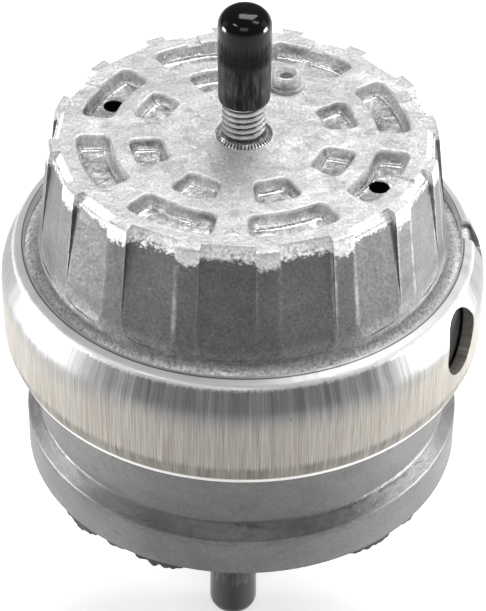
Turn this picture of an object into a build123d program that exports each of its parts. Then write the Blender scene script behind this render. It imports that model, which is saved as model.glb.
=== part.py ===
from build123d import *
import os
from math import atan2, cos, radians, sin, tan

# Hydraulic engine mount in millimetres
# The origin lies on the axis, on the cover's flat top face, and +Z runs along the upper stud.
# The front is at -Y, and the oval window of the band looks to the right.

# Studs, both M10
stud_r = 5.0
stud_length = 32.0
stud_tip_chamfer = 1.0
shank_step = 1.35
shank_sink = 0.4
shank_chamfer = 0.9
stud_head_r = 9.0
stud_head_t = 3.5

# Push-on stud caps
cap_wall = 1.15
cap_taper = 0.2
cap_length = 23.8
cap_end_t = 1.6
cap_crown = 0.7
cap_shoulder_round = 3.4
cap_rim_round = 0.8

# Upper cover, a die casting
cover_height = 31.6
plate_t = 8.5
cover_wall = 5.2
face_inset = 0.4
edge_round = 0.8
rib_lead = 2.2
wall_draft = 6.6
flange_t = 4.0
flange_ledge = 5.7
cove_round = 3.2
hub_r = 11.0
hub_height = 16.0
stud_recess_clearance = 0.25
stud_recess_depth = 0.8
web_t = 3.0
web_depth = 5.0

# Flutes between the cover's side ribs
flute_count = 16
flute_depth = 1.8
flute_draft = 9.2
flute_reach = 8.0
flute_top_width = 12.0
flute_foot_width = 13.2
flute_length = 27.8
flute_corner_round = 4.0
flute_head_run = 1.4
flute_head_drop = 2.2

# Pockets in the cover's top face
pocket_count = 8
pocket_phase = 18.3
pocket_draft = 16.0
inner_pocket_width = 7.9
inner_pocket_half_span = 12.6
inner_pocket_depth = 3.0
outer_pocket_width = 7.9
outer_pocket_half_span = 16.6
outer_pocket_depth = 3.6
pocket_corner_round = 2.0
pocket_floor_round = 0.9
pocket_mouth_round = 0.5
pocket_land = 4.0
rim_land = 6.1
boss_pocket = 1
drain_pockets = (0, 1, 2, 3, 7)
drain_width = 3.4
drain_depth = 0.7
vent_pockets = (3, 7)
vent_r = 2.35
vent_inset = 3.6
mark_r = 1.9
mark_depth = 0.5
mark_angle = 266.5
mark_inset = 6.3

# Locating boss on the cover
boss_r = 3.45
boss_height = 3.4
boss_base_step = 0.85
boss_base_height = 0.9
boss_edge_chamfer = 0.4
boss_inset = 3.2
boss_hole_r = 1.55
boss_hole_depth = 6.0
boss_sink_width = 0.85

# Crimped band
band_r = 57.1
band_wall = 2.8
band_lip_reach = 5.8
band_lip_t = 2.6
band_shoulder_inset = 3.2
band_shoulder_drop = 1.0
band_bend_height = 7.5
band_foot_inset = 1.9
band_foot_bend = 4.6
band_foot_clearance = 1.0
band_shoulder_round = 1.6
band_barrel_round = 9.0
band_foot_round = 1.5
band_bore_clearance = 0.3
window_angle = -27.2
window_width = 14.3
window_height = 16.6
window_drop = 10.8
notch_angle = 3.5
notch_width = 7.5
notch_depth = 8.4
notch_round = 1.5

# Stack clamped by the band, from the cover's flange down
bead_t = 2.4
bead_overhang = 2.1
spacer_width = 2.8
diaphragm_t = 2.0
diaphragm_bend_r = 1.6
diaphragm_roll_width = 3.6
diaphragm_roll_height = 11.0
diaphragm_slope = 3.0
diaphragm_lift = 2.8
diaphragm_wall_gap = 1.6
ring_play = 0.2
grid_t = 2.5
track_t = 10.8
track_outer_wall = 7.0
track_width = 10.5
track_floor_t = 3.5
track_arc = 300.0
track_inner_wall = 9.5
track_seat_wall = 2.1
track_seat_depth = 3.0
track_seat_clearance = 0.2
port_r = 3.2
port_inset = 8.0
grid_hole_r = 3.4
grid_circle_r = 13.0
grid_hole_count = 6
decoupler_play = 0.3
decoupler_bead_width = 4.5
decoupler_t = 3.0
rivet_r = 1.6
rivet_head_r = 2.8
rivet_head_t = 1.0
rivet_inset = 3.6
rivet_count = 3
rivet_phase = 30.0
seal_t = 1.2
seal_width = 5.0

# Lower cup, drawn sheet steel
cup_wall = 2.4
cup_flange_width = 4.4
neck_length = 20.1
shoulder_drop = 3.4
shoulder_step = 3.0
skirt_length = 10.2
cup_bend_round = 1.2

# Core, bump stop and main spring
core_stand_out = 30.4
core_top_wall = 1.75
core_waist_r = 22.0
core_waist_height = 22.0
core_foot_wall = 2.0
core_rim_height = 7.0
core_round = 1.5
travel_up = 9.0
travel_down = 5.0
stop_clearance = 0.5
bump_stop_t = 4.0
bump_stop_round = 2.0
spring_gap = 0.3
spring_lip_t = 3.5
spring_lip_length = 12.0
spring_valley_inset = 16.7
spring_valley_depth = 21.0
spring_core_lead = 4.0
spring_foot_lift = 1.2
spring_arch_inset = 12.7
spring_arch_drop = 4.5
spring_core_skirt = 4.0
spring_round = 5.0

# Lower stud's offset and the locating pin beside it
lower_stud_offset = -1.75
pin_r = 3.0
pin_shank_step = 0.2
pin_sink_width = 0.45
pin_circle_r = 12.6
pin_length = 5.0
pin_depth = 8.0
pin_chamfer = 0.8

# Levels along the axis, from the cover's top face down
flange_top = -cover_height
flange_bottom = flange_top - flange_t
bead_bottom = flange_bottom - bead_t
grid_bottom = bead_bottom - grid_t
track_bottom = grid_bottom - track_t
seal_bottom = track_bottom - seal_t
cup_flange_bottom = seal_bottom - cup_wall
band_bottom = cup_flange_bottom - band_lip_t
band_top = flange_top + band_lip_t
cup_edge = cup_flange_bottom - neck_length - shoulder_drop - skirt_length
stop_top = track_bottom - travel_up - stop_clearance
core_top = stop_top - bump_stop_t
core_bottom = cup_edge - core_stand_out
core_waist = core_bottom + core_waist_height

# Radii of the band and what it clamps, from the outside in
band_bore_r = band_r - band_wall
band_lip_r = band_r - band_lip_reach
stack_r = band_bore_r - band_bore_clearance
bead_r = stack_r - spacer_width - ring_play
track_outer_r = stack_r - track_outer_wall
track_inner_r = track_outer_r - track_width
track_seat_r = track_inner_r - track_seat_wall
track_bore_r = track_inner_r - track_inner_wall
rivet_circle_r = track_bore_r + rivet_inset
neck_r = stack_r - cup_flange_width
skirt_r = neck_r + shoulder_step

# Radii of the cover's wall and of the places on its top face
rib_r = stack_r - flange_ledge - (cover_height - rib_lead) * tan(radians(wall_draft))
face_r = rib_r - face_inset
outer_pocket_r = face_r - rim_land - outer_pocket_width
inner_pocket_r = outer_pocket_r - pocket_land - inner_pocket_width
vent_circle_r = outer_pocket_r + vent_inset
boss_circle_r = inner_pocket_r + boss_inset

# Radii round the studs and the core
shank_r = stud_r + shank_step
stud_recess_r = shank_r + stud_recess_clearance
cap_r = stud_r + cap_wall
core_top_r = stud_head_r - lower_stud_offset + core_top_wall
core_foot_r = pin_circle_r + pin_r + core_foot_wall


def turned(outline, rounds=()):
    """Solid of revolution about Z; each round is a radius and the (r, z) corner that it softens."""
    face = make_face(Plane.XZ * Polyline(*outline, close=True))
    for radius, corner in rounds:
        spot = Vector(corner[0], 0, corner[1])
        vertex = min(face.vertices(), key=lambda v: (Vector(v) - spot).length)
        face = fillet(vertex, radius)
    return revolve(face, Axis.Z)


def disc(radius, low, high):
    """Upright cylinder about Z between two levels."""
    return Pos(0, 0, low) * Cylinder(radius, high - low, align=(Align.CENTER, Align.CENTER, Align.MIN))


def ring(outer, inner, low, high):
    """Upright tube about Z between two levels."""
    return disc(outer, low, high) - disc(inner, low, high)


def at_polar(radius, angle):
    """Location on a circle round Z."""
    return Pos(radius * cos(radians(angle)), radius * sin(radians(angle)), 0)


def wall_r(depth):
    """Radius of the cover's side ribs at a depth under the top face."""
    return rib_r + (depth - rib_lead) * tan(radians(wall_draft))


def chamber_r(depth):
    """Radius of the air chamber at a depth under the top face."""
    return wall_r(depth) - cover_wall


# Upper cover

def pocket(inner_r, width, half_span, depth):
    """Cutter for one arched pocket on the +X side, its walls leaning in towards the floor."""
    outer_r = inner_r + width
    outer_arc = CenterArc((0, 0), outer_r, -half_span, 2 * half_span)
    inner_arc = CenterArc((0, 0), inner_r, -half_span, 2 * half_span)
    sides = [Line(inner_arc @ end, outer_arc @ end) for end in (0, 1)]
    face = make_face([outer_arc, inner_arc] + sides)
    face = fillet(face.vertices(), pocket_corner_round)
    cutter = extrude(face, -depth, taper=pocket_draft)
    return fillet(cutter.faces().sort_by(Axis.Z)[0].edges(), pocket_floor_round)


def flute():
    """Cutter for one flat recess between two side ribs, with its sloped head, on the +X side."""
    floor_r = rib_r - flute_depth
    lean = radians(flute_draft)
    wall = Plane(origin=(floor_r, 0, 0), x_dir=(0, 1, 0), z_dir=(cos(lean), 0, sin(lean)))
    foot = -flute_length / cos(lean)
    outline = Polyline(
        (-flute_foot_width / 2, foot),
        (flute_foot_width / 2, foot),
        (flute_top_width / 2, rib_lead),
        (-flute_top_width / 2, rib_lead),
        close=True,
    )
    face = make_face(outline)
    face = fillet(face.vertices().sort_by(Axis.Y)[:2], flute_corner_round)
    slope = atan2(flute_head_run, flute_head_drop)
    head = Plane(
        origin=(floor_r - flute_head_run, 0, 0), x_dir=(0, 1, 0), z_dir=(cos(slope), 0, sin(slope))
    )
    head_face = Rectangle(flute_top_width, 2 * flute_head_drop / cos(slope))
    return extrude(wall * face, flute_reach) + extrude(head * head_face, flute_reach)


def drain():
    """Cutter for a shallow channel from an outer pocket across the rim, on the +X side."""
    inner = outer_pocket_r + outer_pocket_width / 2
    outer = face_r + drain_width
    return Pos((inner + outer) / 2, 0, 0) * Box(outer - inner, drain_width, 2 * drain_depth)


def ejector_mark():
    """Cutter for the half-moon mark that a casting's ejector leaves near the rim."""
    whole = disc(mark_r, -mark_depth, mark_depth)
    inner_half = Pos(-mark_r, 0, 0) * Box(2 * mark_r, 2 * mark_r, 2 * mark_depth)
    return Rot(0, 0, mark_angle) * Pos(face_r - mark_inset, 0, 0) * (whole & inner_half)


def chamber_web():
    """Radial stiffening web under the plate, on the +X side, running from the hub into the wall."""
    inner = hub_r - web_t / 2
    outer = chamber_r(plate_t) + web_t / 2
    middle = (inner + outer) / 2
    return Pos(middle, 0, -plate_t - web_depth / 2) * Box(outer - inner, web_t, web_depth)


def upper_cover():
    """Die-cast pot: plate, drafted side wall, flange, air chamber, hub, pockets, vents and boss."""
    cove = min(cove_round, band_lip_r - wall_r(cover_height))
    outline = [
        (0, 0),
        (face_r, 0),
        (rib_r, -rib_lead),
        (wall_r(cover_height), flange_top),
        (stack_r, flange_top),
        (stack_r, flange_bottom),
        (chamber_r(cover_height + flange_t), flange_bottom),
        (chamber_r(plate_t), -plate_t),
        (hub_r, -plate_t),
        (hub_r, -hub_height),
        (0, -hub_height),
    ]
    rounds = [
        (edge_round, (face_r, 0)),
        (rib_lead, (rib_r, -rib_lead)),
        (cove, (wall_r(cover_height), flange_top)),
    ]
    cover = turned(outline, rounds)
    cover += PolarLocations(0, pocket_count, pocket_phase + 180 / pocket_count) * chamber_web()
    cover -= PolarLocations(0, flute_count, pocket_phase) * flute()
    for index in range(pocket_count):
        angle = pocket_phase + index * 360 / pocket_count
        cover -= Rot(0, 0, angle) * pocket(
            outer_pocket_r, outer_pocket_width, outer_pocket_half_span, outer_pocket_depth
        )
        if index != boss_pocket:
            cover -= Rot(0, 0, angle) * pocket(
                inner_pocket_r, inner_pocket_width, inner_pocket_half_span, inner_pocket_depth
            )
    top = cover.faces().sort_by(Axis.Z)[-1]
    mouths = [edge for wire in top.inner_wires() for edge in wire.edges()]
    cover = fillet(mouths, pocket_mouth_round)
    for index in range(pocket_count):
        angle = pocket_phase + index * 360 / pocket_count
        if index in drain_pockets:
            cover -= Rot(0, 0, angle) * drain()
        if index in vent_pockets:
            cover -= at_polar(vent_circle_r, angle) * disc(vent_r, -plate_t - web_depth, 0)
    cover -= ejector_mark()
    cover += locating_boss()
    cover -= disc(shank_r, -hub_height, 0)
    cover -= disc(stud_recess_r, -stud_recess_depth, 0)
    return cover - locating_hole()


def locating_boss():
    """Stepped round boss that keys the mount in its bracket."""
    spot = at_polar(boss_circle_r, pocket_phase + boss_pocket * 360 / pocket_count)
    peg = disc(boss_r, 0, boss_height)
    peg = chamfer(peg.edges().group_by(Axis.Z)[-1], boss_edge_chamfer)
    return spot * (peg + disc(boss_r + boss_base_step, 0, boss_base_height))


def locating_hole():
    """Blind countersunk hole down the boss."""
    spot = at_polar(boss_circle_r, pocket_phase + boss_pocket * 360 / pocket_count)
    sink_r = boss_hole_r + boss_sink_width
    drill = disc(boss_hole_r, boss_height - boss_hole_depth, boss_height)
    sink = Cone(boss_hole_r, sink_r, boss_sink_width, align=(Align.CENTER, Align.CENTER, Align.MAX))
    return spot * (drill + Pos(0, 0, boss_height) * sink)


# Studs and caps

def stud(shank_length):
    """Headed stud that stands on z = 0 with its pressed-in shank and head below."""
    outline = [
        (0, stud_length),
        (stud_r - stud_tip_chamfer, stud_length),
        (stud_r, stud_length - stud_tip_chamfer),
        (stud_r, shank_chamfer - shank_sink),
        (shank_r - shank_chamfer, shank_chamfer - shank_sink),
        (shank_r, -shank_sink),
        (shank_r, -shank_length),
        (stud_head_r, -shank_length),
        (stud_head_r, -shank_length - stud_head_t),
        (0, -shank_length - stud_head_t),
    ]
    return turned(outline)


def stud_cap():
    """Domed cap pushed over the end of a stud that stands on z = 0."""
    top = stud_length + cap_end_t
    rim = top - cap_length
    outline = [
        (0, top),
        (cap_r, top - cap_crown),
        (cap_r - cap_taper, rim),
        (stud_r, rim),
        (stud_r, stud_length),
        (0, stud_length),
    ]
    rounds = [(cap_shoulder_round, (cap_r, top - cap_crown)), (cap_rim_round, (cap_r - cap_taper, rim))]
    return turned(outline, rounds)


# Crimped band

def crimp_ring():
    """Steel band rolled in over the cover's flange above and the cup's flange below."""
    shoulder = (band_r - band_shoulder_inset, band_top - band_shoulder_drop)
    upper_bend = (band_r, band_top - band_bend_height)
    lower_bend = (band_r, band_bottom + band_foot_bend)
    foot_edge = (band_r - band_foot_inset, band_bottom)
    outline = [
        (band_lip_r, band_top),
        shoulder,
        upper_bend,
        lower_bend,
        foot_edge,
        (neck_r + band_foot_clearance, band_bottom),
        (neck_r + band_foot_clearance, cup_flange_bottom),
        (band_bore_r, cup_flange_bottom),
        (band_bore_r, flange_top),
        (band_lip_r, flange_top),
    ]
    rounds = [
        (band_shoulder_round, shoulder),
        (band_barrel_round, upper_bend),
        (band_barrel_round, lower_bend),
        (band_foot_round, foot_edge),
    ]
    band = turned(outline, rounds)
    through = 2 * band_wall
    side = Plane(origin=(band_r - through, 0, 0), x_dir=(0, 1, 0), z_dir=(1, 0, 0))
    opening = Ellipse(window_width / 2, window_height / 2)
    window = extrude(side * Pos(0, band_top - window_drop) * opening, 2 * through)
    cut_height = notch_depth + notch_round
    cut = RectangleRounded(notch_width, 2 * cut_height, notch_round)
    notch = extrude(side * Pos(0, band_top - notch_depth + cut_height) * cut, 2 * through)
    band -= Rot(0, 0, window_angle) * window
    return band - Rot(0, 0, notch_angle) * notch


# Stack inside the band

def diaphragm():
    """Rolling rubber bellows: flat middle, one fold standing in the air chamber, clamped bead."""
    middle = bead_bottom + diaphragm_lift
    fold_top = middle + diaphragm_roll_height
    bead_inner_r = chamber_r(cover_height + flange_t) - bead_overhang
    fold_r = chamber_r(-fold_top) - diaphragm_wall_gap - diaphragm_t / 2
    path = FilletPolyline(
        (0, middle),
        (fold_r - diaphragm_roll_width - diaphragm_slope, middle),
        (fold_r - diaphragm_roll_width, fold_top),
        (fold_r, fold_top),
        (bead_inner_r + diaphragm_t / 2, bead_bottom + bead_t / 2),
        radius=diaphragm_bend_r,
    )
    sheet = Plane.XZ * trace(path, diaphragm_t)
    return revolve(sheet, Axis.Z) + ring(bead_r, bead_inner_r, bead_bottom, flange_bottom)


def diaphragm_ring():
    """Steel spacer round the diaphragm's bead."""
    return ring(stack_r, bead_r + ring_play, bead_bottom, flange_bottom)


def grid_holes(low, high):
    """Flow holes through the middle of a grid plate."""
    holes = PolarLocations(grid_circle_r, grid_hole_count) * disc(grid_hole_r, low, high)
    return Compound(children=list(holes)) + disc(grid_hole_r, low, high)


def rivet_shanks(low, high):
    """Shanks of the rivets between two levels."""
    return PolarLocations(rivet_circle_r, rivet_count, rivet_phase) * disc(rivet_r, low, high)


def upper_grid_plate():
    """Perforated disc on top of the channel, with the port into the channel's start."""
    plate = disc(stack_r, grid_bottom, bead_bottom)
    plate -= grid_holes(grid_bottom, bead_bottom)
    plate -= rivet_shanks(grid_bottom, bead_bottom)
    port = at_polar((track_inner_r + track_outer_r) / 2, port_inset)
    return plate - port * disc(port_r, grid_bottom, bead_bottom)


def channel_body():
    """Ring with the long damping channel cut round its top and the port down from its end."""
    body = ring(stack_r, track_bore_r, track_bottom, grid_bottom)
    body -= disc(track_seat_r, track_bottom, track_bottom + track_seat_depth)
    floor = track_bottom + track_floor_t
    section = Polyline(
        (track_inner_r, floor),
        (track_outer_r, floor),
        (track_outer_r, grid_bottom),
        (track_inner_r, grid_bottom),
        close=True,
    )
    body -= revolve(make_face(Plane.XZ * section), Axis.Z, track_arc)
    body -= rivet_shanks(track_bottom, grid_bottom)
    port = at_polar((track_inner_r + track_outer_r) / 2, track_arc - port_inset)
    return body - port * disc(port_r, track_bottom, floor)


def decoupler_membrane():
    """Rubber disc with a thick edge that fills the gap between the grids."""
    low = track_bottom + track_seat_depth
    middle = (low + grid_bottom) / 2
    outer = track_bore_r - decoupler_play
    inner = outer - decoupler_bead_width
    bead = ring(outer, inner, low, grid_bottom)
    return bead + disc(outer, middle - decoupler_t / 2, middle + decoupler_t / 2)


def lower_grid_plate():
    """Perforated disc that closes the decoupler's chamber from below."""
    high = track_bottom + track_seat_depth
    plate = disc(track_seat_r - track_seat_clearance, track_bottom, high)
    return plate - grid_holes(track_bottom, high) - rivet_shanks(track_bottom, high)


def plate_rivets():
    """Rivets that hold the two grids on the channel body."""
    rivets = []
    for place in PolarLocations(rivet_circle_r, rivet_count, rivet_phase):
        shank = disc(rivet_r, track_bottom, bead_bottom)
        upper_head = disc(rivet_head_r, bead_bottom, bead_bottom + rivet_head_t)
        lower_head = disc(rivet_head_r, track_bottom - rivet_head_t, track_bottom)
        rivets.append(place * (shank + upper_head + lower_head))
    return Compound(children=rivets)


def flange_seal():
    """Flat rubber ring between the channel body and the cup's flange."""
    return ring(stack_r, stack_r - seal_width, seal_bottom, track_bottom)


# Lower cup and main spring

def cup_wall_line(inset):
    """Points down the cup's wall from neck to bottom edge, on the outside or a wall thickness in."""
    turn = atan2(skirt_r - neck_r, shoulder_drop)
    shoulder = cup_flange_bottom - neck_length - inset * tan(turn / 2)
    return [
        (neck_r - inset, seal_bottom if inset else cup_flange_bottom),
        (neck_r - inset, shoulder),
        (skirt_r - inset, shoulder - shoulder_drop),
        (skirt_r - inset, cup_edge),
    ]


def lower_cup():
    """Sheet cup: clamped flange, neck, sloping shoulder and wider skirt."""
    outer = cup_wall_line(0)
    outline = cup_wall_line(cup_wall) + outer[::-1]
    outline += [(stack_r, cup_flange_bottom), (stack_r, seal_bottom)]
    return turned(outline, [(cup_bend_round, outer[1]), (cup_bend_round, outer[2])])


def core_flank_r(level):
    """Radius of the core's cone at a level."""
    share = (level - core_waist) / (core_top - core_waist)
    return core_waist_r + (core_top_r - core_waist_r) * share


def main_spring():
    """Thick rubber cone moulded in the cup and round the core, leaning up and out to the cup."""
    wall = cup_wall_line(cup_wall)
    lip_r = wall[0][0] - spring_lip_t
    lead = core_top - spring_core_lead
    valley = (lip_r - spring_valley_inset, seal_bottom - spring_valley_depth)
    lip_end = (lip_r, seal_bottom - spring_lip_length)
    foot_r = wall[3][0] - spring_lip_t
    arch = (foot_r - spring_arch_inset, cup_edge - spring_arch_drop)
    outline = wall + [
        (foot_r, cup_edge + spring_foot_lift),
        arch,
        (core_waist_r + spring_gap, core_waist - spring_core_skirt),
        (core_waist_r + spring_gap, core_waist),
        (core_flank_r(lead) + spring_gap, lead),
        valley,
        lip_end,
        (lip_r, seal_bottom),
    ]
    return turned(outline, [(spring_round, corner) for corner in (arch, valley, lip_end)])


# Core with its stud and stop

def inner_core():
    """Turned core: cone in the rubber, waist, tapered foot and flat seat, bored for the stud and pin."""
    outline = [
        (0, core_top),
        (core_top_r, core_top),
        (core_waist_r, core_waist),
        (core_waist_r, core_bottom + core_waist_height - core_rim_height),
        (core_foot_r, core_bottom),
        (0, core_bottom),
    ]
    rounds = [(core_round, (core_top_r, core_top)), (core_round, (core_waist_r, core_waist))]
    core = turned(outline, rounds)
    core -= Pos(lower_stud_offset, 0, 0) * disc(shank_r, core_bottom, core_top)
    core -= Pos(lower_stud_offset, 0, 0) * disc(stud_recess_r, core_bottom, core_bottom + stud_recess_depth)
    core -= Pos(lower_stud_offset, 0, 0) * disc(stud_head_r, core_top - stud_head_t, core_top)
    pin_bore_r = pin_r - pin_shank_step
    core -= pin_place() * disc(pin_bore_r, core_bottom, core_bottom + pin_depth)
    sink = Cone(pin_bore_r + pin_sink_width, pin_bore_r, pin_sink_width, align=(Align.CENTER, Align.CENTER, Align.MIN))
    return core - pin_place() * Pos(0, 0, core_bottom) * sink


def pin_place():
    """Place of the locating pin behind the lower stud."""
    return at_polar(pin_circle_r, 90)


def lower_locating_pin():
    """Shouldered dowel pressed into the core's seat."""
    peg = disc(pin_r, core_bottom - pin_length, core_bottom)
    peg = chamfer(peg.edges().group_by(Axis.Z)[0], pin_chamfer)
    return pin_place() * (peg + disc(pin_r - pin_shank_step, core_bottom, core_bottom + pin_depth))


def bump_stop():
    """Rubber pad on the core's top that meets the lower grid at the end of the travel."""
    pad = disc(core_top_r - core_round, core_top, stop_top)
    return fillet(pad.edges().group_by(Axis.Z)[-1], bump_stop_round)


def downward(piece, level):
    """Turns a piece upside down and stands it on a level, on the lower stud's axis."""
    return Pos(lower_stud_offset, 0, level) * Rot(180, 0, 0) * piece


upper_shank = hub_height
lower_shank = core_top - stud_head_t - core_bottom

nodes = {
    "upper_cover": upper_cover(),
    "upper_stud": stud(upper_shank),
    "upper_stud_cap": stud_cap(),
    "crimp_ring": crimp_ring(),
    "diaphragm": diaphragm(),
    "diaphragm_ring": diaphragm_ring(),
    "upper_grid_plate": upper_grid_plate(),
    "channel_body": channel_body(),
    "decoupler_membrane": decoupler_membrane(),
    "lower_grid_plate": lower_grid_plate(),
    "plate_rivets": plate_rivets(),
    "flange_seal": flange_seal(),
    "lower_cup": lower_cup(),
    "main_spring": main_spring(),
    "inner_core": inner_core(),
    "bump_stop": bump_stop(),
    "lower_stud": downward(stud(lower_shank), core_bottom),
    "lower_stud_cap": downward(stud_cap(), core_bottom),
    "lower_locating_pin": lower_locating_pin(),
}

os.makedirs("parts", exist_ok=True)
for name, shape in nodes.items():
    export_step(shape, f"parts/{name}.step")
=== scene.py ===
import bpy
import math
import random
from mathutils import Euler, Matrix, Vector


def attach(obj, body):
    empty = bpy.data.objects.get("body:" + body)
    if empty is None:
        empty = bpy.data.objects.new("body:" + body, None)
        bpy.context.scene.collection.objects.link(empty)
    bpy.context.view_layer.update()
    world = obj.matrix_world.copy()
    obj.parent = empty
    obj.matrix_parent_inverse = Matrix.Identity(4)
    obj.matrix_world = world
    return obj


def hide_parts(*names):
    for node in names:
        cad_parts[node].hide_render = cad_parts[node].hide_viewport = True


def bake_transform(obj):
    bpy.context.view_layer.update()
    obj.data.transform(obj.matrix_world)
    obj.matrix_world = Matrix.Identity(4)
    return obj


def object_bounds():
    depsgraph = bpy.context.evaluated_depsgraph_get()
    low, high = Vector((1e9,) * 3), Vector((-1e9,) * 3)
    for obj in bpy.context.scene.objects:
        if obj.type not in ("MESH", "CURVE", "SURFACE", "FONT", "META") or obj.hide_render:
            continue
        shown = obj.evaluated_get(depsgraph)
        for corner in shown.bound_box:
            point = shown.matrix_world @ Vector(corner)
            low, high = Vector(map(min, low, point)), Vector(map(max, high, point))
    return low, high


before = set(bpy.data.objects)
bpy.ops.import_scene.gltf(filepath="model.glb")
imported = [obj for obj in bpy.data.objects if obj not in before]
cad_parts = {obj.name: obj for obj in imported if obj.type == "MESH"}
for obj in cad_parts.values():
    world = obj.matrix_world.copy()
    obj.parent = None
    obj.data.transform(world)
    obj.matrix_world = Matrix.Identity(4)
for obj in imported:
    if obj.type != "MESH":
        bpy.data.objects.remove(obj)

# Hydraulic engine mount, in metres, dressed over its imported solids
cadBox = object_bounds()
millimetre = 0.001
perMetre = 1000.0   # millimetres in a metre
weldDistance = 1e-6
white = (1, 1, 1, 1)
random.seed(7)


# Small helpers for meshes

def clearSelection():
    bpy.ops.object.select_all(action="DESELECT")


def makeActive(piece):
    clearSelection()
    piece.select_set(True)
    bpy.context.view_layer.objects.active = piece


def startPiece(name):
    # the primitive that was just added takes the piece's name and its place goes into its mesh
    piece = bpy.context.active_object
    piece.name = name
    piece.data.name = name
    bpy.ops.object.transform_apply(location=True, rotation=True, scale=True)
    return piece


def pickFaces(piece, wanted):
    # selects, in edit mode, the faces whose centre passes the test
    bpy.ops.object.mode_set(mode="OBJECT")
    for vertex in piece.data.vertices:
        vertex.select = False
    for edge in piece.data.edges:
        edge.select = False
    for face in piece.data.polygons:
        face.select = bool(wanted(face.center))
    bpy.ops.object.mode_set(mode="EDIT")


def applyAll(piece):
    makeActive(piece)
    for modifier in list(piece.modifiers):
        bpy.ops.object.modifier_apply(modifier=modifier.name)


def tidyMesh(piece):
    makeActive(piece)
    bpy.ops.object.mode_set(mode="EDIT")
    bpy.ops.mesh.select_mode(type="VERT")
    bpy.ops.mesh.select_all(action="SELECT")
    bpy.ops.mesh.remove_doubles(threshold=weldDistance)
    bpy.ops.mesh.normals_make_consistent(inside=False)
    bpy.ops.object.mode_set(mode="OBJECT")


def smoothPiece(piece, degrees):
    makeActive(piece)
    bpy.ops.object.shade_smooth_by_angle(angle=math.radians(degrees))


def joinPieces(first, *others):
    clearSelection()
    for other in others:
        other.select_set(True)
    first.select_set(True)
    bpy.context.view_layer.objects.active = first
    bpy.ops.object.join()
    return first


def turnedPiece(name, profile, segments):
    # a lathe by hand: a disc pulled along its axis, ring by ring, in millimetres (radius, height)
    radius, height = profile[0]
    bpy.ops.mesh.primitive_circle_add(
        vertices=segments, radius=radius * millimetre, fill_type="NGON", location=(0, 0, height * millimetre))
    piece = startPiece(name)
    bpy.ops.object.mode_set(mode="EDIT")
    bpy.ops.mesh.select_mode(type="FACE")
    bpy.ops.mesh.select_all(action="SELECT")
    for nextRadius, nextHeight in profile[1:]:
        rise = (nextHeight - height) * millimetre
        bpy.ops.mesh.extrude_region_move(TRANSFORM_OT_translate={"value": (0, 0, rise)})
        grow = nextRadius / radius
        bpy.ops.transform.resize(value=(grow, grow, 1), center_override=(0, 0, nextHeight * millimetre))
        radius, height = nextRadius, nextHeight
    bpy.ops.object.mode_set(mode="OBJECT")
    return piece


# Small helpers for materials: each adds nodes to the tree, and most give back a socket

def newMaterial(name):
    material = bpy.data.materials.new(name)
    material.use_nodes = True
    tree = material.node_tree
    shader = tree.nodes["Principled BSDF"]
    return material, tree, shader


def addNode(tree, kind, values=None, **settings):
    node = tree.nodes.new(kind)
    for key, value in settings.items():
        setattr(node, key, value)
    for key, value in (values or {}).items():
        if isinstance(value, bpy.types.NodeSocket):
            tree.links.new(value, node.inputs[key])
        else:
            node.inputs[key].default_value = value
    return node


def place(tree, scale=(1, 1, 1), offset=(0, 0, 0), turn=(0, 0, 0)):
    coords = addNode(tree, "ShaderNodeTexCoord").outputs["Object"]
    mapping = addNode(tree, "ShaderNodeMapping", {
        "Vector": coords, "Scale": scale, "Location": offset, "Rotation": turn})
    return mapping.outputs["Vector"]


def noise(tree, where, scale, detail=4, roughness=0.55, distortion=0):
    node = addNode(tree, "ShaderNodeTexNoise", {
        "Vector": where, "Scale": scale, "Detail": detail, "Roughness": roughness, "Distortion": distortion})
    return node.outputs["Fac"]


def spread(tree, value, low=0.3, high=0.7, toLow=0.0, toHigh=1.0, soft=False):
    # one range brought to another; most of a noise lies between the low and high given here
    node = addNode(tree, "ShaderNodeMapRange", {
        "Value": value, "From Min": low, "From Max": high, "To Min": toLow, "To Max": toHigh},
        interpolation_type="SMOOTHSTEP" if soft else "LINEAR")
    return node.outputs["Result"]


def zone(tree, look, name, value, soft=False):
    # a share that rises from 0 to 1 between the two measures named in the look
    return spread(tree, value, *look["zones"][name], soft=soft)


def calc(tree, operation, first, second=0.0):
    node = addNode(tree, "ShaderNodeMath", {0: first, 1: second}, operation=operation)
    return node.outputs[0]


def product(tree, *values):
    total = values[0]
    for value in values[1:]:
        total = calc(tree, "MULTIPLY", total, value)
    return total


def blendColours(tree, share, first, second, mode="MIX"):
    node = addNode(tree, "ShaderNodeMix", {0: share, 6: first, 7: second}, data_type="RGBA", blend_type=mode)
    return node.outputs[2]


def tint(tree, colour, share, tone, strength=None):
    # a tone laid over a colour as far as the share says
    if strength is not None:
        share = product(tree, share, strength)
    return blendColours(tree, share, colour, tone)


def wander(tree, value, pattern, reach, low=0.3, high=0.7):
    # a measure made ragged by a noise, as far as the reach either way
    return calc(tree, "ADD", value, spread(tree, pattern, low, high, -reach, reach))


def lineAt(tree, value, middle, outer, inner, soft=False):
    # a line where the value is near the middle: it begins at outer and is full at inner
    away = calc(tree, "ABSOLUTE", calc(tree, "SUBTRACT", value, middle))
    return spread(tree, away, outer, inner, soft=soft)


def heightAndRadius(tree, centreX=0.0):
    # height and distance from the axis, in millimetres
    coords = place(tree, offset=(-centreX * millimetre, 0, 0))
    parts = addNode(tree, "ShaderNodeSeparateXYZ", {0: coords})
    height = product(tree, parts.outputs["Z"], perMetre)
    level = (perMetre, perMetre, 0)
    flat = addNode(tree, "ShaderNodeVectorMath", {0: coords, 1: level}, operation="MULTIPLY")
    length = addNode(tree, "ShaderNodeVectorMath", {0: flat.outputs[0]}, operation="LENGTH")
    return height, length.outputs["Value"]


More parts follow.
